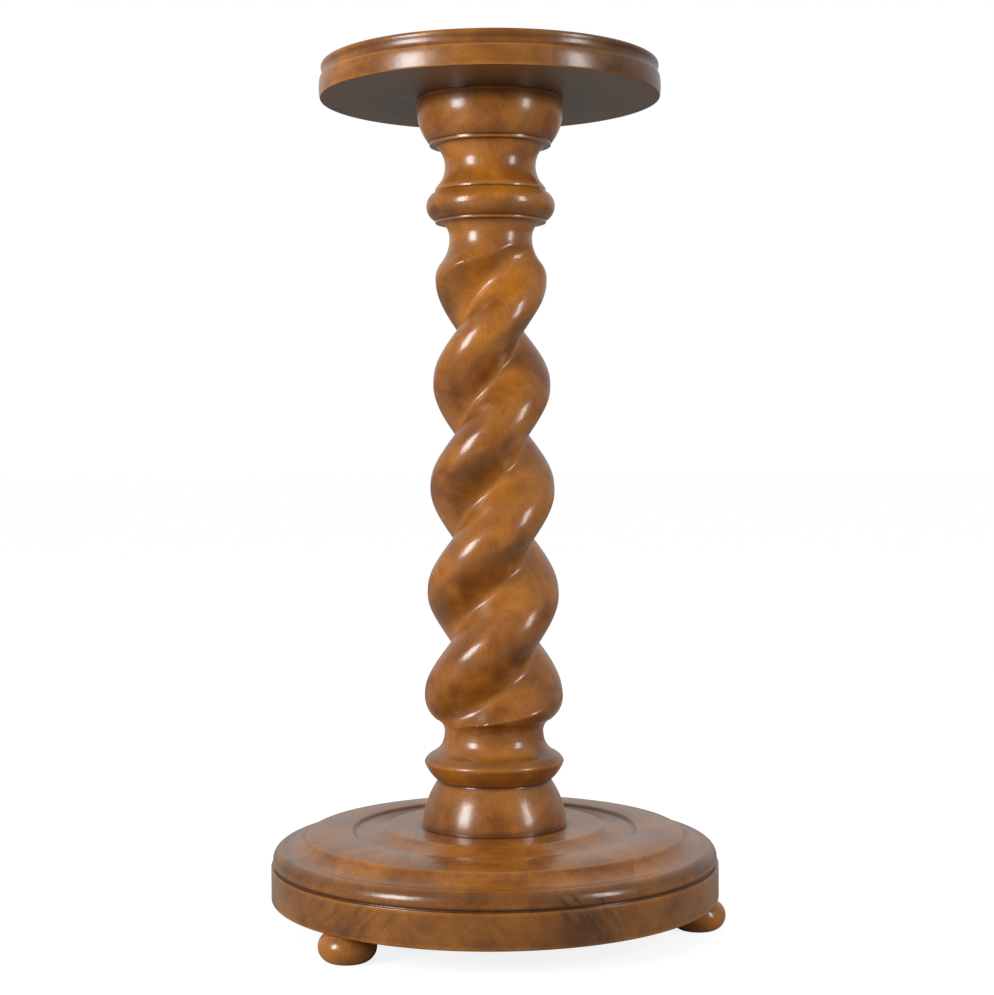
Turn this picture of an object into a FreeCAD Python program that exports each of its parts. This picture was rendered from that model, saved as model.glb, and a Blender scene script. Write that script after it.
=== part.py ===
import FreeCAD, Part
import math
import os
import Sketcher

# A turned wood plant stand: a round top, a column with a two-start barley twist, a moulded
# round base and three bun feet. Millimetres, +Z up, origin on the floor under the column's axis.
# Azimuths are counted from -Y, the side that is seen from the front, towards +X.

doc = FreeCAD.newDocument("PlantStand")

# Driving dimensions. On the column a "drop" is measured down from the underside of the top, a
# "rise" up from the flat pad in the middle of the base. On the base a "drop" is measured down from
# that pad, and an "inset" in from the rim. A "swell" or "hollow" is how far an arc leaves its chord.
DIMENSIONS = {
    # Overall
    "overall_height": 635.0,
    "glue_gap": 0.1,
    "hole_spare_depth": 1.0,
    "saw_margin": 10.0,
    # Top: a disc with a rounded lip, a shallow cove and a slightly convex band
    "top_radius": 127.0,
    "top_thickness": 25.4,
    "top_band_inset": 0.7,
    "top_band_swell": 0.65,
    "top_quirk_depth": 0.9,
    "top_lip_height": 3.2,
    "top_cove_height": 7.4,
    "top_cove_hollow": 0.8,
    "top_lip_inset": 3.4,
    "top_lip_swell": 0.9,
    "top_joint_left_x": -43.0,
    "top_joint_right_x": 43.0,
    # Base: a disc of two-inch stock with a band, a quirk, an ovolo, a cove, a ring, a groove and a pad
    "base_radius": 165.5,
    "base_thickness": 51.0,
    "base_edge_chamfer": 0.9,
    "base_quirk_drop": 25.8,
    "base_quirk_depth": 2.4,
    "base_quirk_width": 1.2,
    "ovolo_foot_inset": 1.9,
    "ovolo_crown_drop": 13.0,
    "ovolo_crown_inset": 7.4,
    "ovolo_swell": 2.75,
    "ovolo_fillet": 2.2,
    "ring_edge_inset": 26.5,
    "ring_drop": 4.6,
    "base_cove_hollow": 2.4,
    "ring_crown": 1.3,
    "ring_inner_drop": 2.2,
    "groove_width": 27.0,
    "groove_hollow": 3.0,
    "pad_margin": 25.6,
    "base_joint_left_x": -58.0,
    "base_joint_right_x": 22.0,
    "base_joint_far_right_x": 95.0,
    # Column, lower turning: bulb, quirk, collar and cove
    "bulb_radius": 53.9,
    "bulb_swell": 2.4,
    "quirk_rise": 33.5,
    "quirk_radius": 41.9,
    "collar_rise": 47.3,
    "collar_radius": 51.9,
    "collar_under_swell": 1.2,
    "collar_top_rise": 53.4,
    "collar_top_radius": 46.3,
    "collar_top_swell": 0.8,
    "cove_rise": 67.4,
    "cove_radius": 36.9,
    "cove_lower_hollow": 2.5,
    "cove_upper_hollow": 2.5,
    "shoulder_foot_rise": 79.1,
    "shoulder_foot_radius": 43.3,
    "shoulder_rise": 97.0,
    "shoulder_swell": 2.3,
    # Column, twist: two round bines wound about the axis, right-handed, thinner upwards
    "twist_pitch": 154.6,
    "first_crest_rise": 96.6,
    "bine_offset": 17.8,
    "bine_radius_bottom": 33.7,
    "bine_radius_top": 23.4,
    "valley_radius": 5.0,
    "carving_skim": 0.5,
    "twist_foot_rise": 63.0,
    "twist_head_drop": 109.0,
    "runout_bottom": 10.0,
    "runout_top": 13.0,
    "runout_margin": 1.6,
    # Column, upper turning: neck, torus, cove and cup
    "upper_shoulder_drop": 134.5,
    "upper_shoulder_foot_drop": 120.7,
    "upper_shoulder_foot_radius": 36.6,
    "upper_shoulder_swell": 1.4,
    "neck_drop": 103.0,
    "neck_radius": 30.8,
    "neck_lower_hollow": 1.5,
    "neck_upper_hollow": 1.2,
    "torus_foot_drop": 92.0,
    "torus_foot_radius": 35.4,
    "torus_fillet_radius": 41.3,
    "torus_fillet_height": 2.0,
    "torus_drop": 90.0,
    "torus_height": 21.0,
    "torus_swell": 6.6,
    "upper_cove_drop": 65.0,
    "upper_cove_radius": 40.2,
    "upper_cove_height": 30.4,
    "upper_cove_hollow": 6.4,
    "cup_fillet_radius": 45.3,
    "cup_fillet_height": 2.4,
    "cup_foot_radius": 45.8,
    "cup_radius": 54.0,
    "cup_swell": 3.6,
    # Tenons that join the column to the base and the top
    "bottom_tenon_radius": 19.0,
    "bottom_tenon_length": 30.0,
    "top_tenon_radius": 16.0,
    "top_tenon_length": 14.0,
    # Bun feet with turned spigots
    "foot_height": 19.5,
    "foot_inset": 15.0,
    "foot_contact_radius": 13.5,
    "foot_neck_radius": 14.6,
    "foot_swell": 6.35,
    "foot_first_azimuth": -42.3,
    "spigot_radius": 7.0,
    "spigot_length": 18.0,
    # Dowels in the edge joints of the glued-up boards
    "dowel_radius": 4.0,
    "dowel_length": 40.0,
    "dowel_rim_distance": 30.0,
    "base_dowel_height": 28.0,
    "top_dowel_height": 11.0,
    # Coach screw from below the base into the column
    "screw_radius": 4.0,
    "screw_length": 60.0,
    "screw_point_length": 8.0,
    "screw_hole_gap": 0.5,
    "screw_head_radius": 7.5,
    "screw_head_height": 5.5,
    "washer_radius": 12.0,
    "washer_thickness": 2.0,
    "recess_radius": 14.0,
    "recess_depth": 9.0,
}

BASE_BOTTOM = ("foot_height",)
PAD = ("foot_height", "base_thickness")
TOP_BOTTOM = ("overall_height", "-top_thickness")
RECESS_TOP = ("foot_height", "recess_depth")
ON_AXIS = ()

sheet = doc.addObject("Spreadsheet::Sheet", "Sizes")
for row, (alias, number) in enumerate(DIMENSIONS.items(), start=1):
    sheet.set("A%d" % row, alias)
    sheet.set("B%d" % row, str(number))
    sheet.setAlias("B%d" % row, alias)
doc.recompute()


def value(*terms):
    """Sum of named dimensions; a leading minus subtracts one."""
    total = 0.0
    for term in terms:
        sign = -1.0 if term.startswith("-") else 1.0
        total += sign * float(sheet.get(term.lstrip("-")))
    return total


def formula(*terms):
    """The same sum, as an expression on the sheet's cells."""
    text = ""
    for term in terms:
        text += " - " if term.startswith("-") else " + "
        text += "Sizes." + term.lstrip("-")
    return text.strip(" +") if not text.startswith(" - ") else "0" + text


# Round pieces are turned from an outline of corners (radius terms, height terms, arc). The arc
# leads to the next corner: None is straight, "+name" swells out of the wood by that dimension,
# "-name" hollows into it. Corners run anticlockwise, with the wood on the left.

def arc_radius(chord, bulge):
    return (chord * chord / 4.0 + bulge * bulge) / (2.0 * bulge)


def outline_edge(start, end, arc):
    """A straight edge, or the arc that leaves the chord by its named bulge."""
    first = FreeCAD.Vector(start[0], start[1], 0)
    last = FreeCAD.Vector(end[0], end[1], 0)
    if arc is None:
        return Part.LineSegment(first, last)
    bulge = value(arc[1:])
    along = last - first
    wood_side = FreeCAD.Vector(-along.y, along.x, 0).normalize()
    outwards = -1.0 if arc[0] == "+" else 1.0
    middle = (first + last) * 0.5 + wood_side * outwards * bulge
    return Part.Arc(first, middle, last)


def fix_corner(sketch, edge, point, terms, axis):
    """Ties one corner's radius (X) or height (Y) to the sheet."""
    if terms == ON_AXIS:
        sketch.addConstraint(Sketcher.Constraint("PointOnObject", edge, point, -2 if axis == "X" else -1))
        return
    kind = "Distance" + axis
    number = sketch.addConstraint(Sketcher.Constraint(kind, -1, 1, edge, point, value(*terms)))
    sketch.setExpression("Constraints[%d]" % number, formula(*terms))


def fix_arc(sketch, edge, start, end, arc):
    """Ties an arc's radius to its two corners and its named bulge."""
    span = math.dist([value(*start[0]), value(*start[1])], [value(*end[0]), value(*end[1])])
    radius = arc_radius(span, value(arc[1:]))
    number = sketch.addConstraint(Sketcher.Constraint("Radius", edge, radius))
    width = "(%s - (%s))" % (formula(*end[0]) or "0", formula(*start[0]) or "0")
    rise = "(%s - (%s))" % (formula(*end[1]) or "0", formula(*start[1]) or "0")
    bulge = "Sizes." + arc[1:]
    text = "((%s^2 + %s^2) / 4 + %s^2) / (2 * %s)" % (width, rise, bulge, bulge)
    sketch.setExpression("Constraints[%d]" % number, text)


def turned(name, corners):
    """A body turned about Z from its outline."""
    body = doc.addObject("PartDesign::Body", name)
    body.Label = name
    sketch = body.newObject("Sketcher::SketchObject", name + "_outline")
    planes = {plane.Role: plane for plane in body.Origin.OriginFeatures}
    sketch.AttachmentSupport = [(planes["XZ_Plane"], "")]
    sketch.MapMode = "FlatFace"
    count = len(corners)
    places = [(value(*radius), value(*height)) for radius, height, arc in corners]
    edges = []
    is_arc = []
    for index in range(count):
        following = (index + 1) % count
        shape = outline_edge(places[index], places[following], corners[index][2])
        edges.append(sketch.addGeometry(shape, False))
        is_arc.append(corners[index][2] is not None)
    # A sketch stores an arc anticlockwise, so a hollow arc's first point is its far end.
    starts = []
    for index in range(count):
        hollow = is_arc[index] and corners[index][2][0] == "-"
        starts.append(2 if hollow else 1)
    for index in range(count):
        following = (index + 1) % count
        finish = 3 - starts[index]
        sketch.addConstraint(
            Sketcher.Constraint("Coincident", edges[index], finish, edges[following], starts[following])
        )
    for index in range(count):
        radius, height, arc = corners[index]
        fix_corner(sketch, edges[index], starts[index], radius, "X")
        fix_corner(sketch, edges[index], starts[index], height, "Y")
        if arc is not None:
            fix_arc(sketch, edges[index], corners[index], corners[(index + 1) % count], arc)
    doc.recompute()
    turning = body.newObject("PartDesign::Revolution", name + "_turning")
    turning.Profile = sketch
    turning.ReferenceAxis = (sketch, ["V_Axis"])
    turning.Angle = 360.0
    doc.recompute()
    return body


def bind(item, **formulas):
    """Binds properties of an object to the sheet; place_x means Placement.Base.x."""
    for key, text in formulas.items():
        item.setExpression(key.replace("place_", ".Placement.Base."), text)


def cylinder(name, radius, height, bottom):
    item = doc.addObject("Part::Cylinder", name)
    bind(item, Radius=radius, Height=height, place_z=bottom)
    return item


# Top disc, before it is divided into boards: mortise below, band, quirk, cove and lip outside
def make_top_disc():
    band_foot = ("top_radius", "-top_band_inset")
    cove_edge = (*band_foot, "-top_quirk_depth")
    cove_top = ("overall_height", "-top_lip_height")
    band_top = (*cove_top, "-top_cove_height")
    mortise_radius = ("top_tenon_radius", "glue_gap")
    mortise_roof = (*TOP_BOTTOM, "top_tenon_length", "hole_spare_depth")
    return turned("top_disc", [
        (mortise_radius, TOP_BOTTOM, None),
        (band_foot, TOP_BOTTOM, "+top_band_swell"),
        (band_foot, band_top, None),
        (cove_edge, band_top, "-top_cove_hollow"),
        (cove_edge, cove_top, "+top_lip_swell"),
        (("top_radius", "-top_lip_inset"), ("overall_height",), None),
        (ON_AXIS, ("overall_height",), None),
        (ON_AXIS, mortise_roof, None),
        (mortise_radius, mortise_roof, None),
    ])


# Base disc, before it is divided into boards: mouldings outside, mortise and screw hole inside
def make_base_disc():
    band_top = (*PAD, "-base_quirk_drop")
    quirk_top = (*band_top, "base_quirk_width")
    quirk_floor = ("base_radius", "-base_quirk_depth")
    crown = ("base_radius", "-ovolo_crown_inset")
    crown_height = (*PAD, "-ovolo_crown_drop")
    fillet = (*crown, "-ovolo_fillet")
    pad_radius = ("bulb_radius", "pad_margin")
    ring_inside = (*pad_radius, "groove_width")
    ring_height = (*PAD, "-ring_drop")
    mortise_radius = ("bottom_tenon_radius", "glue_gap")
    mortise_floor = (*PAD, "-bottom_tenon_length", "-hole_spare_depth")
    hole_radius = ("screw_radius", "screw_hole_gap")
    return turned("base_disc", [
        (("recess_radius",), BASE_BOTTOM, None),
        (("base_radius", "-base_edge_chamfer"), BASE_BOTTOM, None),
        (("base_radius",), (*BASE_BOTTOM, "base_edge_chamfer"), None),
        (("base_radius",), band_top, None),
        (quirk_floor, band_top, None),
        (quirk_floor, quirk_top, None),
        (("base_radius", "-ovolo_foot_inset"), quirk_top, "+ovolo_swell"),
        (crown, crown_height, None),
        (fillet, crown_height, "-base_cove_hollow"),
        (("base_radius", "-ring_edge_inset"), ring_height, "+ring_crown"),
        (ring_inside, (*PAD, "-ring_inner_drop"), "-groove_hollow"),
        (pad_radius, PAD, None),
        (mortise_radius, PAD, None),
        (mortise_radius, mortise_floor, None),
        (hole_radius, mortise_floor, None),
        (hole_radius, RECESS_TOP, None),
        (("recess_radius",), RECESS_TOP, None),
    ])


# Column as it leaves the lathe, with its tenons and the screw's pilot hole, before carving
def make_column_blank():
    def rise(name):
        return (*PAD, name)

    def drop(*names):
        return (*TOP_BOTTOM, *["-" + name for name in names])

    tenon_end = (*PAD, "-bottom_tenon_length")
    tenon_top = (*TOP_BOTTOM, "top_tenon_length")
    pilot_top = (*RECESS_TOP, "-washer_thickness", "screw_length", "hole_spare_depth")
    crest_bottom = ("bine_offset", "bine_radius_bottom", "carving_skim")
    crest_top = ("bine_offset", "bine_radius_top", "carving_skim")
    torus_bottom = drop("torus_drop")
    torus_top = (*torus_bottom, "torus_height")
    cove_bottom = drop("upper_cove_drop")
    cove_top = (*cove_bottom, "upper_cove_height")
    cup_bottom = (*cove_top, "cup_fillet_height")
    return turned("column_blank", [
        (("screw_radius", "glue_gap"), tenon_end, None),
        (("bottom_tenon_radius",), tenon_end, None),
        (("bottom_tenon_radius",), PAD, None),
        (("bulb_radius",), PAD, "+bulb_swell"),
        (("quirk_radius",), rise("quirk_rise"), "+collar_under_swell"),
        (("collar_radius",), rise("collar_rise"), "+collar_top_swell"),
        (("collar_top_radius",), rise("collar_top_rise"), "-cove_lower_hollow"),
        (("cove_radius",), rise("cove_rise"), "-cove_upper_hollow"),
        (("shoulder_foot_radius",), rise("shoulder_foot_rise"), "+shoulder_swell"),
        (crest_bottom, rise("shoulder_rise"), None),
        (crest_top, drop("upper_shoulder_drop"), "+upper_shoulder_swell"),
        (("upper_shoulder_foot_radius",), drop("upper_shoulder_foot_drop"), "-neck_lower_hollow"),
        (("neck_radius",), drop("neck_drop"), "-neck_upper_hollow"),
        (("torus_foot_radius",), drop("torus_foot_drop"), None),
        (("torus_fillet_radius",), drop("torus_foot_drop"), None),
        (("torus_fillet_radius",), torus_bottom, "+torus_swell"),
        (("torus_fillet_radius",), torus_top, None),
        (("torus_fillet_radius",), (*torus_top, "torus_fillet_height"), None),
        (("upper_cove_radius",), cove_bottom, "-upper_cove_hollow"),
        (("upper_cove_radius",), cove_top, None),
        (("cup_fillet_radius",), cove_top, None),
        (("cup_fillet_radius",), cup_bottom, None),
        (("cup_foot_radius",), cup_bottom, "+cup_swell"),
        (("cup_radius",), TOP_BOTTOM, None),
        (("top_tenon_radius",), TOP_BOTTOM, None),
        (("top_tenon_radius",), tenon_top, None),
        (ON_AXIS, tenon_top, None),
        (ON_AXIS, pilot_top, None),
        (("screw_radius", "glue_gap"), pilot_top, None),
    ])


# The twist: a section of two overlapping rounds, turning with height. Near each end the rounds
# grow until their valleys clear the neck, so the carved hollows run out there.
TWIST_BOTTOM = (*PAD, "twist_foot_rise")
TWIST_TOP = (*TOP_BOTTOM, "-twist_head_drop")
SECTIONS_PER_TURN = 24


def bine_radius(height):
    bottom = value(*PAD, "shoulder_rise")
    top = value(*TOP_BOTTOM, "-upper_shoulder_drop")
    share = (height - bottom) / (top - bottom)
    radius = value("bine_radius_bottom") + share * (value("bine_radius_top") - value("bine_radius_bottom"))
    ends = [
        (height - value(*TWIST_BOTTOM), value("runout_bottom"), value("cove_radius")),
        (value(*TWIST_TOP) - height, value("runout_top"), value("neck_radius")),
    ]
    for distance, runout, neck in ends:
        if distance < runout:
            full = math.hypot(neck + value("runout_margin"), value("bine_offset"))
            radius += (full - radius) * (1.0 - distance / runout) ** 2
    return radius


def bine_section(height):
    """Closed wire of six arcs: two bines, each in two arcs, and the two valleys between them."""
    offset = value("bine_offset")
    valley = value("valley_radius")
    radius = bine_radius(height)
    valley_centre = math.sqrt((radius + valley) ** 2 - offset ** 2)
    touch_angle = math.atan2(valley_centre, -offset)
    turn = 2.0 * math.pi * (height - value(*PAD, "first_crest_rise")) / value("twist_pitch")

    def on_bine(side, angle):
        return FreeCAD.Vector(side * (offset + radius * math.cos(angle)), side * radius * math.sin(angle), 0)

    def in_valley(side):
        return FreeCAD.Vector(0, side * (valley_centre - valley), 0)

    arcs = []
    for side in (1, -1):
        below = (on_bine(side, -touch_angle), on_bine(side, -touch_angle / 2.0), on_bine(side, 0.0))
        above = (on_bine(side, 0.0), on_bine(side, touch_angle / 2.0), on_bine(side, touch_angle))
        across = (on_bine(side, touch_angle), in_valley(side), on_bine(-side, -touch_angle))
        arcs += [below, above, across]
    place = FreeCAD.Placement(
        FreeCAD.Vector(0, 0, height), FreeCAD.Rotation(FreeCAD.Vector(0, 0, 1), math.degrees(turn))
    )
    edges = [Part.Arc(*[place.multVec(point) for point in arc]).toShape() for arc in arcs]
    return Part.Wire(edges)


def make_bines():
    bottom = value(*TWIST_BOTTOM)
    top = value(*TWIST_TOP)
    steps = math.ceil((top - bottom) / value("twist_pitch") * SECTIONS_PER_TURN)
    wires = [bine_section(bottom + (top - bottom) * step / steps) for step in range(steps + 1)]
    item = doc.addObject("Part::Feature", "bines")
    item.Shape = Part.makeLoft(wires, True, False)
    return item


# Column: the blank less the waste between the bines
def make_column():
    waste_block = cylinder(
        "twist_block",
        "Sizes.bine_offset + 2 * Sizes.bine_radius_bottom",
        "%s - (%s)" % (formula(*TWIST_TOP), formula(*TWIST_BOTTOM)),
        formula(*TWIST_BOTTOM),
    )
    waste = doc.addObject("Part::Cut", "twist_waste")
    waste.Base = waste_block
    waste.Tool = make_bines()
    column = doc.addObject("Part::Cut", "column")
    column.Base = make_column_blank()
    column.Tool = waste
    column.Label = "column"
    return column


# Edge joints: dowels across each joint, as far from the rim as its named distance
def dowel_places(rim, joint):
    """Expressions for the two dowels of a joint: the Y of each, from the rim's half chord."""
    reach = "(abs(%s) + Sizes.dowel_length / 2)" % joint
    half_chord = "sqrt(%s^2 - %s^2)" % (rim, reach)
    return ["%s - Sizes.dowel_rim_distance" % half_chord, "Sizes.dowel_rim_distance - %s" % half_chord]


def along_x(name, radius, length, joint, y_place, height):
    """A cylinder lying along X, centred on a joint."""
    item = doc.addObject("Part::Cylinder", name)
    item.Placement.Rotation = FreeCAD.Rotation(FreeCAD.Vector(0, 1, 0), 90)
    bind(item, Radius=radius, Height=length)
    bind(item, place_x="%s - (%s) / 2" % (joint, length), place_y=y_place, place_z=height)
    return item


def gather(name, items):
    group = doc.addObject("Part::Compound", name)
    group.Links = items
    group.Label = name
    return group


def make_dowels(prefix, rim, joints, height):
    """The dowels of a glued-up disc, and the holes that they sit in."""
    dowels = []
    holes = []
    for joint in joints:
        for y_place in dowel_places(rim, joint):
            number = len(dowels) + 1
            dowels.append(along_x(
                "%s_dowel_%d" % (prefix, number),
                "Sizes.dowel_radius", "Sizes.dowel_length", joint, y_place, height,
            ))
            holes.append(along_x(
                "%s_dowel_hole_%d" % (prefix, number),
                "Sizes.dowel_radius + Sizes.glue_gap",
                "Sizes.dowel_length + 2 * Sizes.hole_spare_depth",
                joint, y_place, height,
            ))
    return gather(prefix + "_edge_dowels", dowels), holes


def make_boards(names, disc, rim, joints, bottom, height):
    """Divides a disc along its joints, which run front to back."""
    reach = "(%s + Sizes.saw_margin)" % rim
    edges = ["-" + reach, *joints, reach]
    boards = []
    for name, left, right in zip(names, edges[:-1], edges[1:]):
        slab = doc.addObject("Part::Box", name + "_slab")
        bind(slab, Length="%s - (%s)" % (right, left), Width="2 * " + reach)
        bind(slab, Height="%s + 2 * Sizes.saw_margin" % height)
        bind(slab, place_x=left, place_y="-" + reach, place_z="%s - Sizes.saw_margin" % bottom)
        board = doc.addObject("Part::Common", name)
        board.Base = disc
        board.Tool = slab
        board.Label = name
        boards.append(board)
    return boards


# Bun feet: three, evenly round the base, each glued by its spigot into a socket
FOOT_NAMES = ["foot_front_left", "foot_right", "foot_rear"]


def foot_place(index):
    """Expressions for a foot's X and Y."""
    circle = "(Sizes.base_radius - Sizes.foot_inset)"
    azimuth = "(Sizes.foot_first_azimuth + %d) * 1 deg" % (index * 120)
    return "%s * sin(%s)" % (circle, azimuth), "-%s * cos(%s)" % (circle, azimuth)


def make_foot(index):
    spigot_top = ("foot_height", "spigot_length")
    foot = turned(FOOT_NAMES[index], [
        (ON_AXIS, ON_AXIS, None),
        (("foot_contact_radius",), ON_AXIS, "+foot_swell"),
        (("foot_neck_radius",), ("foot_height",), None),
        (("spigot_radius",), ("foot_height",), None),
        (("spigot_radius",), spigot_top, None),
        (ON_AXIS, spigot_top, None),
    ])
    x_place, y_place = foot_place(index)
    bind(foot, place_x=x_place, place_y=y_place)
    return foot


def make_foot_socket(index):
    socket = cylinder(
        "foot_socket_%d" % (index + 1),
        "Sizes.spigot_radius + Sizes.glue_gap",
        "Sizes.spigot_length + Sizes.hole_spare_depth",
        "Sizes.foot_height",
    )
    x_place, y_place = foot_place(index)
    bind(socket, place_x=x_place, place_y=y_place)
    return socket


def drilled(name, disc, holes):
    result = doc.addObject("Part::Cut", name)
    result.Base = disc
    result.Tool = gather(name + "_holes", holes)
    return result


# Coach screw and washer, up through the base into the column's lower tenon
def make_screw():
    seat = "%s - Sizes.washer_thickness" % formula(*RECESS_TOP)
    plain_length = "Sizes.screw_length - Sizes.screw_point_length"
    shank = cylinder("screw_shank", "Sizes.screw_radius", plain_length, seat)
    point = doc.addObject("Part::Cone", "screw_point")
    bind(point, Radius1="Sizes.screw_radius", Height="Sizes.screw_point_length")
    bind(point, place_z="%s + %s" % (seat, plain_length))
    point.Radius2 = 0.0
    head = doc.addObject("Part::Prism", "screw_head")
    head.Polygon = 6
    bind(head, Circumradius="Sizes.screw_head_radius", Height="Sizes.screw_head_height")
    bind(head, place_z="%s - Sizes.screw_head_height" % seat)
    screw = doc.addObject("Part::MultiFuse", "coach_screw")
    screw.Shapes = [shank, point, head]
    screw.Label = "coach_screw"
    return screw


def make_washer():
    seat = "%s - Sizes.washer_thickness" % formula(*RECESS_TOP)
    plate = cylinder("washer_plate", "Sizes.washer_radius", "Sizes.washer_thickness", seat)
    hole = cylinder(
        "washer_hole", "Sizes.screw_radius + Sizes.screw_hole_gap", "Sizes.washer_thickness", seat
    )
    washer = doc.addObject("Part::Cut", "coach_screw_washer")
    washer.Base = plate
    washer.Tool = hole
    washer.Label = "coach_screw_washer"
    return washer


# Assembly
top_joints = ["Sizes.top_joint_left_x", "Sizes.top_joint_right_x"]
top_dowels, top_holes = make_dowels(
    "top", "Sizes.top_radius", top_joints, "%s + Sizes.top_dowel_height" % formula(*TOP_BOTTOM)
)
top_boards = make_boards(
    ["top_board_left", "top_board_centre", "top_board_right"],
    drilled("top_drilled", make_top_disc(), top_holes),
    "Sizes.top_radius", top_joints, formula(*TOP_BOTTOM), "Sizes.top_thickness",
)

base_joints = ["Sizes.base_joint_left_x", "Sizes.base_joint_right_x", "Sizes.base_joint_far_right_x"]
base_dowels, base_holes = make_dowels(
    "base", "Sizes.base_radius", base_joints, "%s + Sizes.base_dowel_height" % formula(*BASE_BOTTOM)
)
foot_sockets = [make_foot_socket(index) for index in range(len(FOOT_NAMES))]
base_boards = make_boards(
    ["base_board_left", "base_board_centre", "base_board_right", "base_board_far_right"],
    drilled("base_drilled", make_base_disc(), base_holes + foot_sockets),
    "Sizes.base_radius", base_joints, formula(*BASE_BOTTOM), "Sizes.base_thickness",
)

feet = [make_foot(index) for index in range(len(FOOT_NAMES))]
pieces = [
    *top_boards, top_dowels, make_column(), *base_boards, base_dowels, *feet, make_screw(), make_washer(),
]
doc.recompute()

# Every object has to be sound before anything is written
for item in doc.Objects:
    if "Invalid" in item.State or "Error" in item.State:
        raise RuntimeError("%s could not be made: %s" % (item.Label, item.State))
for piece in pieces:
    if piece.Shape.isNull() or not piece.Shape.isValid():
        raise RuntimeError("%s has no sound shape" % piece.Label)

os.makedirs("parts", exist_ok=True)
for piece in pieces:
    piece.Shape.exportStep("parts/%s.step" % piece.Label)
    litres = piece.Shape.Volume * 1e-6
    print("%-22s solids %d  volume %.4f l" % (piece.Label, len(piece.Shape.Solids), litres))
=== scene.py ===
# %% [markdown]
# # A turned wood plant stand, rebuilt in Blender
#
# The stand is a round top, a column carved with a two-start barley twist, a moulded round base and
# three bun feet, all in close-grained beech under brown stain and a satin varnish. The frame that
# is loaded here holds every piece at its real place and size, in metres. This lesson makes the
# pieces that show again, with finer meshes, and gives them their finish.

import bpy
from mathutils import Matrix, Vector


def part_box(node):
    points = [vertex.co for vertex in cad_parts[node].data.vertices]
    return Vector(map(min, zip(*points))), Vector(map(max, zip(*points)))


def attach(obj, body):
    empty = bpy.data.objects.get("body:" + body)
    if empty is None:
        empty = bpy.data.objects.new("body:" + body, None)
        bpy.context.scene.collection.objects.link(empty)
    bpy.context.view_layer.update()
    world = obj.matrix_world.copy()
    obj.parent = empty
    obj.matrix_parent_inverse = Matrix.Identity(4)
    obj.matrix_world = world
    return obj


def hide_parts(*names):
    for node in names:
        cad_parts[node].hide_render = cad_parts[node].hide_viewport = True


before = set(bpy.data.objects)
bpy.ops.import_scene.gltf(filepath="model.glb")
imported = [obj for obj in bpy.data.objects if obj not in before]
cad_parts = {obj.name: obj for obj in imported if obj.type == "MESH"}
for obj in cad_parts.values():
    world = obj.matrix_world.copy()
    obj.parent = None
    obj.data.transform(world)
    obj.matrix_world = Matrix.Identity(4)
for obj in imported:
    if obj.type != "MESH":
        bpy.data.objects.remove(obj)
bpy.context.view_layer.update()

import math

import bmesh
import bpy
import numpy as np
from mathutils import Matrix, Vector

MM = 0.001
scene = bpy.context.scene
print("pieces in the frame:", len(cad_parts))

# %% [markdown]
# ## The camera
#
# The stand was seen from the front, from a little over half its height, with a fairly long lens. The
# camera is level, so that upright lines stay upright, and the picture is brought down by a small
# lens shift, as with a view camera. It also leaned by under half a degree, which the roll repeats.

# %% Camera
IMAGE_WIDTH = 994
IMAGE_HEIGHT = 995
FOCAL_LENGTH_PX = 1833.1
AXIS_X_PX = 492.2
HORIZON_Y_PX = 453.4
SENSOR_MM = 36.0
CAMERA_DISTANCE = 1.366
CAMERA_HEIGHT = 0.3463
CAMERA_ROLL = math.radians(-0.384)

camera_data = bpy.data.cameras.new("front_camera")
camera_data.sensor_fit = "VERTICAL"
camera_data.sensor_height = SENSOR_MM
camera_data.lens = FOCAL_LENGTH_PX / IMAGE_HEIGHT * SENSOR_MM
camera_data.shift_x = (IMAGE_WIDTH / 2 - AXIS_X_PX) / IMAGE_HEIGHT
camera_data.shift_y = (HORIZON_Y_PX - IMAGE_HEIGHT / 2) / IMAGE_HEIGHT
camera = bpy.data.objects.new("front_camera", camera_data)
camera.matrix_world = (
    Matrix.Translation((0.0, -CAMERA_DISTANCE, CAMERA_HEIGHT))
    @ Matrix.Rotation(math.pi / 2, 4, "X")
    @ Matrix.Rotation(CAMERA_ROLL, 4, "Z")
)
scene.collection.objects.link(camera)
scene.camera = camera
print("lens", round(camera_data.lens, 1), "mm")

# %% [markdown]
# ## Small helpers
#
# One function turns a web colour into the linear values that shaders use, and one adds a node with
# its settings and links. The second returns the node's first output, which can be linked at once.

# %% Colour and node helpers
MATH = "ShaderNodeMath"
VECTOR_MATH = "ShaderNodeVectorMath"
NOISE = "ShaderNodeTexNoise"
MIX = "ShaderNodeMixRGB"
RANGE = "ShaderNodeMapRange"


def linear(hex_colour):
    """An sRGB hex colour as linear red, green, blue and alpha."""
    channels = [int(hex_colour[place:place + 2], 16) / 255 for place in (1, 3, 5)]
    levels = [c / 12.92 if c <= 0.04045 else ((c + 0.055) / 1.055) ** 2.4 for c in channels]
    return (*levels, 1.0)


def add(tree, kind, sockets=None, **settings):
    """Adds a node; sockets maps an input to a value or to the output that feeds it."""
    node = tree.nodes.new(kind)
    for name, setting in settings.items():
        setattr(node, name, setting)
    for name, source in (sockets or {}).items():
        if isinstance(source, bpy.types.NodeSocket):
            tree.links.new(source, node.inputs[name])
        else:
            node.inputs[name].default_value = source
    return node.outputs[0] if node.outputs else node


print("a middle grey in linear light:", round(linear("#808080")[0], 3))

# %% [markdown]
# ## The floor
#
# The stand was photographed on white, so the ground is one wide sheet that takes a faint shadow and
# runs into the background without a horizon. To the camera it glows, so that it reads as white. To
# the wood it is a plain grey floor, which lights the stand less from below than a white one would.

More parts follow.
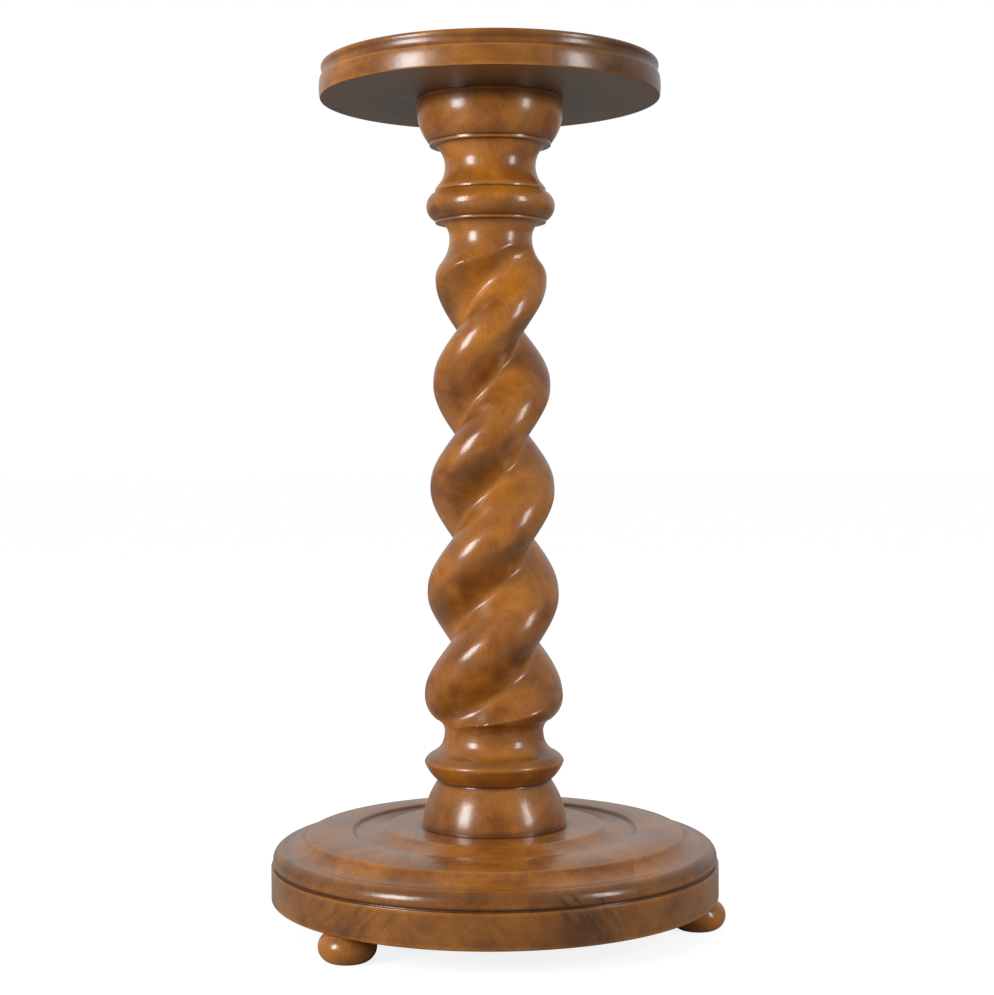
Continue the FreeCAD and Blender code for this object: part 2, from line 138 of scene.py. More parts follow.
# %% Floor
FLOOR_SIZE = 60.0
FLOOR_SEEN = "#9C9C9A"
FLOOR_BOUNCE = "#93908B"
FLOOR_MIRRORED = "#BBB5AD"
FLOOR_GLOW = 0.86


def make_floor():
    """The white ground: a wide sheet that takes the stand's shadow."""
    mesh = bpy.data.meshes.new("floor")
    half = FLOOR_SIZE / 2
    corners = [(-half, -half, 0), (half, -half, 0), (half, half, 0), (-half, half, 0)]
    mesh.from_pydata(corners, [], [(0, 1, 2, 3)])
    floor = bpy.data.objects.new("floor", mesh)
    scene.collection.objects.link(floor)
    material = bpy.data.materials.new("white_paper_floor")
    material.use_nodes = True
    tree = material.node_tree
    tree.nodes.clear()
    rays = add(tree, "ShaderNodeLightPath").node.outputs
    tone = add(tree, MIX, {
        "Fac": rays["Is Glossy Ray"], "Color1": linear(FLOOR_BOUNCE), "Color2": linear(FLOOR_MIRRORED),
    })
    bounce = add(tree, "ShaderNodeBsdfDiffuse", {"Color": tone})
    seen = add(tree, "ShaderNodeBsdfDiffuse", {"Color": linear(FLOOR_SEEN)})
    glow = add(tree, "ShaderNodeEmission", {"Color": (1, 1, 1, 1), "Strength": FLOOR_GLOW})
    bright = add(tree, "ShaderNodeAddShader", {0: seen, 1: glow})
    shown = add(tree, "ShaderNodeMixShader", {0: rays["Is Camera Ray"], 1: bounce, 2: bright})
    add(tree, "ShaderNodeOutputMaterial", {"Surface": shown})
    mesh.materials.append(material)


make_floor()
print("floor", FLOOR_SIZE, "m wide")

# %% [markdown]
# ## The room
#
# The room is white to the camera. To the wood it is dim on the camera's side and brighter behind the
# stand, so the flat top of the base mirrors a pale background while the front keeps its colour.

# %% World
ROOM_FRONT = 0.17
ROOM_BACK = 0.46
FRONT_WALL_ENDS = -0.2
BACK_WALL_STARTS = 0.8
CEILING = 0.22


def make_world():
    """White to the camera; to the wood, a room that is brighter behind the stand."""
    world = bpy.data.worlds.new("studio")
    scene.world = world
    world.use_nodes = True
    tree = world.node_tree
    tree.nodes.clear()
    direction = add(tree, "ShaderNodeTexCoord")
    axes = add(tree, "ShaderNodeSeparateXYZ", {0: direction}).node.outputs
    walls = add(tree, RANGE, {
        "Value": axes["Y"], "From Min": FRONT_WALL_ENDS, "From Max": BACK_WALL_STARTS,
        "To Min": ROOM_FRONT, "To Max": ROOM_BACK,
    })
    up = add(tree, MATH, {0: axes["Z"], 1: 0.0}, operation="MAXIMUM")
    room = add(tree, MATH, {0: up, 1: CEILING, 2: walls}, operation="MULTIPLY_ADD")
    rays = add(tree, "ShaderNodeLightPath").node.outputs
    level = add(tree, "ShaderNodeMix", {0: rays["Is Camera Ray"], 2: room, 3: 1.0}, data_type="FLOAT")
    light = add(tree, "ShaderNodeBackground", {"Color": (1, 1, 1, 1), "Strength": level})
    add(tree, "ShaderNodeOutputWorld", {"Surface": light})


make_world()
scene.view_settings.view_transform = "Standard"
print("room from", ROOM_FRONT, "to", ROOM_BACK)

# %% [markdown]
# ## The lamps
#
# Two upright soft boxes stand in front of the stand, either side of the camera: a broad one to the
# left and a narrow one to the right. Lamps this shape give the pairs of long highlights that run down
# every turned surface, which a small round lamp would shrink to dots.

# %% Soft boxes
SOFT_BOX_DISTANCE = 1.75
SOFT_BOX_HEIGHT = 0.85
SOFT_BOX_MIDDLE = 0.78
SOFT_BOX_AIM = SOFT_BOX_MIDDLE * 0.75


def make_soft_box(name, azimuth, width, watts):
    """An upright soft box, aimed at the column; azimuth is from the camera's side towards +X."""
    lamp = bpy.data.lights.new(name, "AREA")
    lamp.shape = "RECTANGLE"
    lamp.size = width
    lamp.size_y = SOFT_BOX_HEIGHT
    lamp.energy = watts
    box = bpy.data.objects.new(name, lamp)
    turn = math.radians(azimuth)
    place = Vector((math.sin(turn), -math.cos(turn), 0)) * SOFT_BOX_DISTANCE
    place.z = SOFT_BOX_MIDDLE
    aim = Vector((0, 0, SOFT_BOX_AIM)) - place
    box.matrix_world = Matrix.Translation(place) @ aim.to_track_quat("-Z", "Y").to_matrix().to_4x4()
    scene.collection.objects.link(box)


make_soft_box("left_soft_box", azimuth=-51, width=0.54, watts=27)
make_soft_box("right_soft_box", azimuth=57, width=0.30, watts=12)

# %% [markdown]
# ## How the wood grew
#
# The stand is beech: pale, hard and even, with fine pores, faint growth rings and short rays. A flat
# picture of wood would have to be wrapped round each piece. Here the pattern is solid instead: rings
# about a pith line and fibres along it, so a rim cut across the boards shows end grain by itself.

# %% Growth patterns
GRAIN_UP = (0.0, 0.0, 0.0)
GRAIN_TO_BACK = (math.pi / 2, 0.0, 0.0)
SWAY_MM = 55.0
SWAY_DEPTH_MM = 8.0
RING_MM = 3.4
FIBRE_ACROSS_MM = 0.9
FIBRE_ALONG_MM = 60.0
PORE_ACROSS_MM = 0.6
PORE_ALONG_MM = 5.0
BLOTCH_MM = 34.0
STREAK_MM = 4.5
STREAKS_PER_RADIAN = 7.0
STREAK_ALONG_MM = 70.0
PATCH_MM = 70.0
RAY_ACROSS_MM = 1.8
RAY_DEPTH_MM = 14.0
RAY_ALONG_MM = 6.0
# The wave texture counts this many radians for each unit of its coordinates
WAVE_RADIANS = 20


def per_mm(size):
    """The scale that gives a pattern this size in millimetres on coordinates in metres."""
    return 1.0 / (size * MM)


def grow_beech(tree, grain, pith_mm, ray_reach):
    """Adds the patterns that growth leaves, by name. ray_reach is how far from the pith line the
    piece lies, in mm, because rays spread apart with that distance."""
    surface = add(tree, "ShaderNodeTexCoord").node.outputs
    log = add(tree, "ShaderNodeMapping", {
        "Vector": surface["Object"], "Location": [-p * MM for p in pith_mm], "Rotation": grain,
    })
    # A tree is never straight: the rings and fibres wander by a few millimetres
    sway = add(tree, NOISE, {"Vector": log, "Scale": per_mm(SWAY_MM), "Detail": 2.0}).node.outputs["Color"]
    swing = (SWAY_DEPTH_MM * MM, SWAY_DEPTH_MM * MM, SWAY_DEPTH_MM * MM)
    bent = add(tree, VECTOR_MATH, {0: sway, 1: swing, 2: log}, operation="MULTIPLY_ADD")

    ring_scale = 2 * math.pi * per_mm(RING_MM) / WAVE_RADIANS
    rings = add(tree, "ShaderNodeTexWave", {
        "Vector": bent, "Scale": ring_scale, "Distortion": 1.5, "Detail": 2.0,
    }, wave_type="RINGS", rings_direction="Z", wave_profile="SAW")
    stretch = (per_mm(FIBRE_ACROSS_MM), per_mm(FIBRE_ACROSS_MM), per_mm(FIBRE_ALONG_MM))
    fibre_place = add(tree, VECTOR_MATH, {0: bent, 1: stretch}, operation="MULTIPLY")
    fibres = add(tree, NOISE, {"Vector": fibre_place, "Scale": 1.0, "Detail": 3.0, "Roughness": 0.6})
    stretch = (per_mm(PORE_ACROSS_MM), per_mm(PORE_ACROSS_MM), per_mm(PORE_ALONG_MM))
    pore_place = add(tree, VECTOR_MATH, {0: bent, 1: stretch}, operation="MULTIPLY")
    pore_noise = add(tree, NOISE, {"Vector": pore_place, "Scale": 1.0, "Detail": 1.0})
    pores = add(tree, RANGE, {"Value": pore_noise, "From Min": 0.60, "From Max": 0.70})
    blotches = add(tree, NOISE, {
        "Vector": log, "Scale": per_mm(BLOTCH_MM), "Detail": 4.0, "Roughness": 0.6, "Distortion": 0.4,
    })

    # Streaks keep to the rings and rays cross them, so both are laid out round the pith
    around = add(tree, "ShaderNodeSeparateXYZ", {0: bent}).node.outputs
    angle = add(tree, MATH, {0: around["Y"], 1: around["X"]}, operation="ARCTAN2")
    flat = add(tree, "ShaderNodeCombineXYZ", {"X": around["X"], "Y": around["Y"]})
    from_pith = add(tree, VECTOR_MATH, {0: flat}, operation="LENGTH").node.outputs["Value"]
    polar = add(tree, "ShaderNodeCombineXYZ", {"X": from_pith, "Y": angle, "Z": around["Z"]})
    stretch = (per_mm(STREAK_MM), STREAKS_PER_RADIAN, per_mm(STREAK_ALONG_MM))
    streak_place = add(tree, VECTOR_MATH, {0: polar, 1: stretch}, operation="MULTIPLY")
    streak_noise = add(tree, NOISE, {"Vector": streak_place, "Scale": 1.0, "Detail": 3.0, "Roughness": 0.6})
    streak_lines = add(tree, RANGE, {"Value": streak_noise, "From Min": 0.47, "From Max": 0.66})
    patch_noise = add(tree, NOISE, {"Vector": log, "Scale": per_mm(PATCH_MM), "Detail": 1.0})
    patches = add(tree, RANGE, {"Value": patch_noise, "From Min": 0.40, "From Max": 0.62})
    streaks = add(tree, MATH, {0: streak_lines, 1: patches}, operation="MULTIPLY")
    stretch = (per_mm(RAY_DEPTH_MM), ray_reach / RAY_ACROSS_MM, per_mm(RAY_ALONG_MM))
    ray_place = add(tree, VECTOR_MATH, {0: polar, 1: stretch}, operation="MULTIPLY")
    rays = add(tree, NOISE, {"Vector": ray_place, "Scale": 1.0, "Detail": 2.0})

    # End grain shows where the surface faces along the fibres
    turned_normal = add(tree, "ShaderNodeMapping", {"Vector": surface["Normal"], "Rotation": grain})
    facing = add(tree, "ShaderNodeSeparateXYZ", {0: turned_normal}).node.outputs["Z"]
    end_grain = add(tree, MATH, {0: facing, 1: facing}, operation="MULTIPLY")
    return {
        "place": surface["Object"], "rings": rings, "fibres": fibres, "pores": pores,
        "blotches": blotches, "streaks": streaks, "rays": rays, "end_grain": end_grain,
    }


print("rings", RING_MM, "mm apart, blotches", BLOTCH_MM, "mm wide")

# %% [markdown]
# ## Stain, and painted light and shade
#
# Brown stain went on before the varnish. It sank in unevenly, so the surface is blotchy, and end
# grain drank more of it. It stayed thickest in tight grooves and where pieces meet. The same colours
# also paint light and shade: painted shade in grooves, under edges and on the lower side of the bines,
# and painted light and highlights on edges, the neck and the valleys of the twist. Wide coves are drawn
# a little paler and swells a little darker. The meshes carry an attribute that says where: above 0 the
# dark stain and painted shade, below 0 the paler rubbed edges and painted light.

# %% Stain, painted light and shade
STAIN_PALE = "#CC8228"
STAIN_MIDDLE = "#AC681F"
STAIN_DARK = "#6E3810"
STREAK_STAIN = "#41210C"
GROOVE_STAIN_AND_SHADE = "#2E1506"
# The groove colour also paints shade, and the edge colour also paints light and highlights
EDGE_RUB_AND_LIGHT = "#C88A42"
EVENNESS = 0.35
RING_STRENGTH = 0.08
PORE_STRENGTH = 0.30


def stain_beech(tree, grown, shade, end_stain, streaks):
    """The stained colour. shade is an axis with two places in mm and the stain's lightness at each.
    end_stain is how much end grain darkens, and streaks how strongly dark streaks show there. Both
    fade towards the two places, where boards meet."""
    axis, (first_mm, first_shade), (last_mm, last_shade) = shade
    run = add(tree, "ShaderNodeSeparateXYZ", {0: grown["place"]}).node.outputs[axis]

    # Blotches first, then fibres and rings darken them
    depth = add(tree, RANGE, {"Value": grown["blotches"], "From Min": 0.34, "From Max": 0.66})
    blotched = add(tree, MIX, {"Fac": depth, "Color1": linear(STAIN_DARK), "Color2": linear(STAIN_PALE)})
    even = add(tree, MIX, {"Fac": EVENNESS, "Color1": blotched, "Color2": linear(STAIN_MIDDLE)})
    fibre_shade = add(tree, RANGE, {
        "Value": grown["fibres"], "From Min": 0.3, "From Max": 0.7, "To Min": 0.30, "To Max": 0.0,
    })
    fibred = add(tree, MIX, {"Fac": fibre_shade, "Color1": even, "Color2": linear(STAIN_DARK)})
    ring_shade = add(tree, RANGE, {
        "Value": grown["rings"], "From Min": 0.35, "From Max": 1.0, "To Min": 0.0, "To Max": RING_STRENGTH,
    })
    ringed = add(tree, MIX, {"Fac": ring_shade, "Color1": fibred, "Color2": linear(STAIN_DARK)})

    # End grain, streaks and pores
    across = add(tree, RANGE, {
        "Value": run, "From Min": first_mm * MM, "From Max": last_mm * MM, "To Min": -1.0, "To Max": 1.0,
    })
    outer = add(tree, MATH, {0: across, 1: across}, operation="MULTIPLY")
    inner = add(tree, MATH, {0: 1.0, 1: outer}, operation="SUBTRACT")
    soaked = add(tree, MATH, {0: grown["streaks"], 1: streaks, 2: end_stain}, operation="MULTIPLY_ADD")
    soaked_inside = add(tree, MATH, {0: soaked, 1: inner}, operation="MULTIPLY")
    streak_shade = add(tree, MATH, {0: soaked_inside, 1: grown["end_grain"]}, operation="MULTIPLY")
    streaked = add(tree, MIX, {"Fac": streak_shade, "Color1": ringed, "Color2": linear(STREAK_STAIN)})
    pore_shade = add(tree, MATH, {0: grown["pores"], 1: PORE_STRENGTH}, operation="MULTIPLY")
    pored = add(tree, MIX, {"Fac": pore_shade, "Color1": streaked, "Color2": linear(GROOVE_STAIN_AND_SHADE)})

    # Stain and painted shade in grooves, rubbed edges and painted light, and this piece's lightness
    hollow = add(tree, "ShaderNodeAttribute", attribute_name="hollow").node.outputs["Fac"]
    stain_and_shade_share = add(tree, RANGE, {
        "Value": hollow, "From Min": 0.05, "From Max": 1.0, "To Min": 0.0, "To Max": 0.75,
    })
    stained_and_shaded = add(tree, MIX, {"Fac": stain_and_shade_share, "Color1": pored, "Color2": linear(GROOVE_STAIN_AND_SHADE)})
    rub_and_light_share = add(tree, RANGE, {
        "Value": hollow, "From Min": -0.05, "From Max": -0.9, "To Min": 0.0, "To Max": 0.45,
    })
    rubbed_and_lit = add(tree, MIX, {"Fac": rub_and_light_share, "Color1": stained_and_shaded, "Color2": linear(EDGE_RUB_AND_LIGHT)})
    value = add(tree, RANGE, {
        "Value": run, "From Min": first_mm * MM, "From Max": last_mm * MM,
        "To Min": first_shade, "To Max": last_shade,
    })
    return add(tree, "ShaderNodeHueSaturation", {"Color": rubbed_and_lit, "Value": value})


print("stain:", STAIN_PALE, STAIN_MIDDLE, STAIN_DARK)

# %% [markdown]
# ## Varnish
#
# A satin varnish lies over it all and gives soft, bright highlights. It is a clear coat over the
# stained wood. The film is slightly rippled, and fibres and rays stand up under it as fine lines.

# %% Stained and varnished beech
VARNISH_RIPPLE_MM = 9.0
FIBRE_RELIEF = 0.05
RAY_RELIEF = 0.06
RAY_REACH_MM = 100.0
RELIEF_STRENGTH = 0.35
RELIEF_DEPTH_MM = 0.35
SATIN = 0.20
DULL = 0.45


def stained_beech(name, grain, pith_mm, shade, end_stain=0.0, streaks=0.0, ray_relief=RAY_RELIEF,
                  ray_reach=RAY_REACH_MM, film_roughness=SATIN):
    """Beech under stain and varnish. ray_relief is how far the rays stand up under the varnish, and
    film_roughness how dull it is."""
    material = bpy.data.materials.new(name)
    material.use_nodes = True
    tree = material.node_tree
    tree.nodes.clear()
    grown = grow_beech(tree, grain, pith_mm, ray_reach)
    colour = stain_beech(tree, grown, shade, end_stain, streaks)
    ripple = add(tree, NOISE, {
        "Vector": grown["place"], "Scale": per_mm(VARNISH_RIPPLE_MM), "Detail": 2.0,
    })
    film = add(tree, MATH, {0: grown["fibres"], 1: FIBRE_RELIEF, 2: ripple}, operation="MULTIPLY_ADD")
    raised = add(tree, MATH, {0: grown["rays"], 1: ray_relief, 2: film}, operation="MULTIPLY_ADD")
    relief = add(tree, "ShaderNodeBump", {
        "Height": raised, "Strength": RELIEF_STRENGTH, "Distance": RELIEF_DEPTH_MM * MM,
    })
    sheen = add(tree, RANGE, {
        "Value": grown["blotches"], "From Min": 0.3, "From Max": 0.7, "To Min": 0.34, "To Max": 0.46,
    })
    wood = add(tree, "ShaderNodeBsdfPrincipled", {
        "Base Color": colour, "Roughness": sheen, "Normal": relief, "Coat Normal": relief,
        "Specular IOR Level": 0.25, "Coat Weight": 0.85, "Coat Roughness": film_roughness,
    })
    add(tree, "ShaderNodeOutputMaterial", {"Surface": wood})
    return material


print("varnish roughness", SATIN, "and below the boards", DULL)

# %% [markdown]
# ## Turning on the lathe
#
# Every round piece comes off a lathe, so its mesh is an outline spun about an upright axis. An
# outline is a short list of corners in millimetres: radius, height, and how far the run to the next
# corner swells out of the wood (above 0) or hollows into it (below 0). Corners go anticlockwise, with
# the wood on the left. Sharp corners are eased by about half a millimetre, as sanding does.

# %% Outlines
TRACE_STEP = 1.5
EASED_CORNER = 0.6
EASED_TURN = math.radians(20)
EASED_SHARE = 0.45
ON_AXIS = 1e-6


def trace_run(start, end, bulge, step):
    """Points from one corner up to the next, along a straight run or an arc."""
    chord = end - start
    length = np.linalg.norm(chord)
    shares = np.linspace(0, 1, max(1, math.ceil(length / step)), endpoint=False)[:, None]
    if bulge == 0:
        return start + chord * shares
    along = chord / length
    outwards = np.array([along[1], -along[0]]) * math.copysign(1, bulge)
    depth = abs(bulge)
    radius = (length ** 2 / 4 + depth ** 2) / (2 * depth)
    opening = 4 * math.atan(2 * depth / length)
    angles = (shares - 0.5) * opening
    centre = (start + end) / 2 + outwards * (depth - radius)
    return centre + radius * (outwards * np.cos(angles) + along * np.sin(angles))


def ease_corners(points):
    """Replaces each sharp corner by three points."""
    eased = []
    count = len(points)
    for index in range(count):
        here, before, after = points[index], points[index - 1], points[(index + 1) % count]
        back, onward = before - here, after - here
        lengths = np.linalg.norm(back), np.linalg.norm(onward)
        turn = math.pi - math.acos(np.clip(back @ onward / (lengths[0] * lengths[1]), -1, 1))
        if turn < EASED_TURN or here[0] < ON_AXIS:
            eased.append(here)
            continue
        first = here + back * min(EASED_SHARE, EASED_CORNER / lengths[0])
        last = here + onward * min(EASED_SHARE, EASED_CORNER / lengths[1])
        eased += [first, (first + 2 * here + last) / 4, last]
    return np.array(eased)


def trace(outline, step=TRACE_STEP):
    """The whole outline as points, with its corners eased."""
    runs = []
    for index, (radius, height, bulge) in enumerate(outline):
        end = outline[(index + 1) % len(outline)]
        runs.append(trace_run(np.array([radius, height]), np.array(end[:2]), bulge, step))
    return ease_corners(np.vstack(runs))


print("outlines are traced every", TRACE_STEP, "mm")

# %% [markdown]
# ## Where stain, painted shade and painted light go
#
# A rag wipes stain off edges and leaves it in grooves, where shade is painted too. Whether a point
# lies in a groove can be read from the outline: it lies inside the average of the points around it.
# A small neighbourhood finds tight quirks, and a wide one finds open coves, drawn a little paler.
# Places where pieces meet, painted shade and painted light are listed, as one outline alone can't show
# them.

# %% Hollows in an outline
STATION_MM = 0.5
TIGHT_REACH = 2.5
TIGHT_FULL = 0.45
WIDE_REACH = 11.0
WIDE_FULL = 2.5
WIDE_SHARE = 0.45


def depth_in_outline(points, reach):
    """How far each point lies inside (above 0) or outside the outline around it, in mm."""
    loop = np.vstack([points, points[:1]])
    lengths = np.concatenate([[0], np.cumsum(np.linalg.norm(np.diff(loop, axis=0), axis=1))])
    count = max(8, int(lengths[-1] / STATION_MM))
    stations = np.linspace(0, lengths[-1], count, endpoint=False)
    even = np.stack([np.interp(stations, lengths, loop[:, axis]) for axis in (0, 1)], axis=1)
    window = int(reach / STATION_MM)
    around = np.mean([np.roll(even, shift, axis=0) for shift in range(-window, window + 1)], axis=0)
    along = np.roll(even, -2, axis=0) - np.roll(even, 2, axis=0)
    outwards = np.stack([along[:, 1], -along[:, 0]], axis=1)
    outwards /= np.linalg.norm(outwards, axis=1)[:, None] + 1e-9
    depth = np.einsum("ij,ij->i", around - even, outwards)
    return np.interp(lengths[:-1], stations, depth, period=lengths[-1])


def hollowness(points, marks):
    """The attribute of stain and painted light, from -1 to 1: high in tight grooves, low on edges and, a
    little, in wide coves. marks lists places one by one: radius, height, reach and strength."""
    tight = np.clip(depth_in_outline(points, TIGHT_REACH) / TIGHT_FULL, -1, 1)
    wide = np.clip(depth_in_outline(points, WIDE_REACH) / WIDE_FULL, -1, 1)
    hollow = tight - WIDE_SHARE * wide
    for radius, height, reach, strength in marks:
        distance = np.hypot(points[:, 0] - radius, points[:, 1] - height)
        hollow = hollow + strength * np.clip(1 - distance / reach, 0, 1)
    return np.clip(hollow, -1, 1)


print("grooves under", TIGHT_REACH, "mm and coves under", WIDE_REACH, "mm are told apart")

# %% [markdown]
# ## From outline to piece
#
# Spinning joins each point's ring to the next. Points on the axis stay single, so the poles close
# without slivers. A finished piece rides on the frame's one body and stands for its node there.

# %% Spinning and finishing
SHARP_ANGLE = math.radians(40)
FACING_DOWN = -0.95


def spin(name, points, segments, centre=(0.0, 0.0), marks=()):
    """A closed mesh turned from an outline, with the attribute of stain and painted light, in metres."""
    rims = []
    verts = []
    hollows = []
    angles = np.arange(segments) * 2 * math.pi / segments
    for (radius, height), hollow in zip(points, hollowness(points, marks)):
        ring = [0.0] if radius < ON_AXIS else angles
        rims.append(range(len(verts), len(verts) + len(ring)))
        for angle in ring:
            x = centre[0] + radius * math.cos(angle)
            y = centre[1] + radius * math.sin(angle)
            verts.append((x * MM, y * MM, height * MM))
            hollows.append(hollow)
    faces = []
    for lower, upper in zip(rims, rims[1:] + rims[:1]):
        if len(lower) == 1 and len(upper) == 1:
            continue
        for index in range(segments):
            following = (index + 1) % segments
            low = [lower[0]] if len(lower) == 1 else [lower[index], lower[following]]
            high = [upper[0]] if len(upper) == 1 else [upper[following], upper[index]]
            faces.append(low + high)
    mesh = bpy.data.meshes.new(name)
    mesh.from_pydata(verts, [], faces)
    mesh.attributes.new("hollow", "FLOAT", "POINT").data.foreach_set("value", hollows)
    return mesh


def finish_piece(name, mesh, material, *nodes, underside=None):
    """Makes the mesh an object that stands for its nodes in the frame. underside, if there is one, is
    the darker, painted-shade material of the faces that look straight down."""
    mesh.polygons.foreach_set("use_smooth", [True] * len(mesh.polygons))
    mesh.set_sharp_from_angle(angle=SHARP_ANGLE)
    mesh.materials.clear()
    mesh.materials.append(material)
    if underside:
        mesh.materials.append(underside)
        down = [int(face.normal.z < FACING_DOWN) for face in mesh.polygons]
        mesh.polygons.foreach_set("material_index", down)
    piece = bpy.data.objects.new(name, mesh)
    scene.collection.objects.link(piece)
    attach(piece, "root")
    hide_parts(*nodes)
    print(name, "faces", len(mesh.polygons))


print("edges over", round(math.degrees(SHARP_ANGLE)), "degrees stay sharp")

# %% [markdown]
# ## Heights and widths from the frame
#
# The frame says how tall and wide the stand is, so the outlines below start from these few values.

# %% Sizes read from the frame


def in_mm(node):
    """A node's lowest and highest corners, in millimetres."""
    return [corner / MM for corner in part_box(node)]


base_low, base_high = in_mm("base_board_centre")
top_low, top_high = in_mm("top_board_centre")
BASE_BOTTOM = base_low.z
PAD = base_high.z
TOP_BOTTOM = top_low.z
TOP_FACE = top_high.z
BASE_RADIUS = -in_mm("base_board_left")[0].x
TOP_JOINTS = [top_low.x, top_high.x]
BASE_JOINTS = [base_low.x, base_high.x, in_mm("base_board_far_right")[0].x]
print("pad at", round(PAD, 1), "underside of the top at", round(TOP_BOTTOM, 1), "mm")

# %% [markdown]
# ## The column, turned
#
# The maker first turns a plain column with its mouldings: from the bottom a bulb, a collar and a cove,
# then the shaft, and at the top a neck, a torus, a cove and a cup. A tenon on each end goes into the
# base and the top. The mesh starts as the same blank, a little fuller than the twist will be.

# %% Column blank
TENON_RADIUS = 19.0
TENON_LENGTH = 30.0
TOP_TENON_RADIUS = 16.0
TOP_TENON_LENGTH = 14.0
BULB_RADIUS = 53.9
COVE_RADIUS = 36.9
NECK_RADIUS = 30.8
CUP_RADIUS = 54.0
SHAFT_FOOT = PAD + 97.0
SHAFT_HEAD = TOP_BOTTOM - 134.5
BINE_OFFSET = 17.8
BINE_RADIUS_BOTTOM = 33.7
BINE_RADIUS_TOP = 23.4
CARVING_SKIM = 0.5
COLUMN_SEGMENTS = 224

column_outline = [
    # Lower tenon
    (0.0, PAD - TENON_LENGTH, 0),
    (TENON_RADIUS, PAD - TENON_LENGTH, 0),
    (TENON_RADIUS, PAD, 0),
    # Bulb, quirk, collar and cove
    (BULB_RADIUS, PAD, 2.4),
    (41.9, PAD + 33.5, 1.2),
    (51.9, PAD + 47.3, 0.8),
    (46.3, PAD + 53.4, -2.5),
    (COVE_RADIUS, PAD + 67.4, -2.5),
    (43.3, PAD + 79.1, 2.3),
    # Shaft, before carving
    (BINE_OFFSET + BINE_RADIUS_BOTTOM + CARVING_SKIM, SHAFT_FOOT, 0),
    (BINE_OFFSET + BINE_RADIUS_TOP + CARVING_SKIM, SHAFT_HEAD, 1.4),
    (36.6, TOP_BOTTOM - 120.7, -1.5),
    # Neck, torus and upper cove, with fillets between them
    (NECK_RADIUS, TOP_BOTTOM - 103.0, -1.2),
    (35.4, TOP_BOTTOM - 92.0, 0),
    (41.3, TOP_BOTTOM - 92.0, 0),
    (41.3, TOP_BOTTOM - 90.0, 6.6),
    (41.3, TOP_BOTTOM - 69.0, 0),
    (41.3, TOP_BOTTOM - 67.0, 0),
    (40.2, TOP_BOTTOM - 65.0, -6.4),
    (40.2, TOP_BOTTOM - 34.6, 0),
    # Cup under the top
    (45.3, TOP_BOTTOM - 34.6, 0),
    (45.3, TOP_BOTTOM - 32.2, 0),
    (45.8, TOP_BOTTOM - 32.2, 3.6),
    (CUP_RADIUS, TOP_BOTTOM, 0),
    # Upper tenon
    (TOP_TENON_RADIUS, TOP_BOTTOM, 0),
    (TOP_TENON_RADIUS, TOP_BOTTOM + TOP_TENON_LENGTH, 0),
    (0.0, TOP_BOTTOM + TOP_TENON_LENGTH, 0),
]
column_marks = [
    # Dark joint of the bulb on the pad, painted shade under the collar, a darker cove above it, and the
    # cup's dark joint under the top, with painted shade
    (BULB_RADIUS, PAD, 4.0, 1.3),
    (44.0, PAD + 36.0, 9.0, 0.7),
    (48.0, PAD + 54.0, 10.0, 0.5),
    (CUP_RADIUS, TOP_BOTTOM, 12.0, 1.0),
    # A darker lower edge of the cup, painted shade under the torus, and painted light on the neck
    (46.5, TOP_BOTTOM - 31.0, 9.0, 0.5),
    (45.5, TOP_BOTTOM - 87.0, 9.0, 0.7),
    (31.0, TOP_BOTTOM - 104.0, 14.0, -0.4),
]
blank_mesh = spin("column", trace(column_outline), COLUMN_SEGMENTS, marks=column_marks)
print("blank faces", len(blank_mesh.polygons))

# %% [markdown]
# ## The shape of the twist
#
# Two hollows are then carved, winding up the shaft, and leave two round bines between them. In any
# cross-section the bines are two overlapping rounds, and that section turns with height. At both ends
# the carver lets each hollow run out in a shallow spoon. A rule fits better than modelling by hand,
# because the pitch and the taper stay true all the way, so the cut is a Geometry Nodes tree.

# %% Section of the twist
RUNOUT_MARGIN = 1.6
twist_sizes = {
    "Pitch": 154.6 * MM,
    "Crest Height": (PAD + 96.6) * MM,
    "Bine Offset": BINE_OFFSET * MM,
    "Lower Height": SHAFT_FOOT * MM,
    "Lower Radius": BINE_RADIUS_BOTTOM * MM,
    "Upper Height": SHAFT_HEAD * MM,
    "Upper Radius": BINE_RADIUS_TOP * MM,
    "Lower End": (PAD + 52.0) * MM,
    "Lower Runout": 10.0 * MM,
    "Lower Full": math.hypot(COVE_RADIUS + RUNOUT_MARGIN, BINE_OFFSET) * MM,
    "Upper End": (TOP_BOTTOM - 102.0) * MM,
    "Upper Runout": 13.0 * MM,
    "Upper Full": math.hypot(NECK_RADIUS + RUNOUT_MARGIN, BINE_OFFSET) * MM,
    "Valley Ease": 3.0 * MM,
    "Spoon Ease": 13.0 * MM,
    "Spoon Length": 50.0 * MM,
    "Tool Marks": 0.7 * MM,
    # Painted shade, with some stain, on the lower side of each bine
    "Lower Side Shade": 0.75,
}


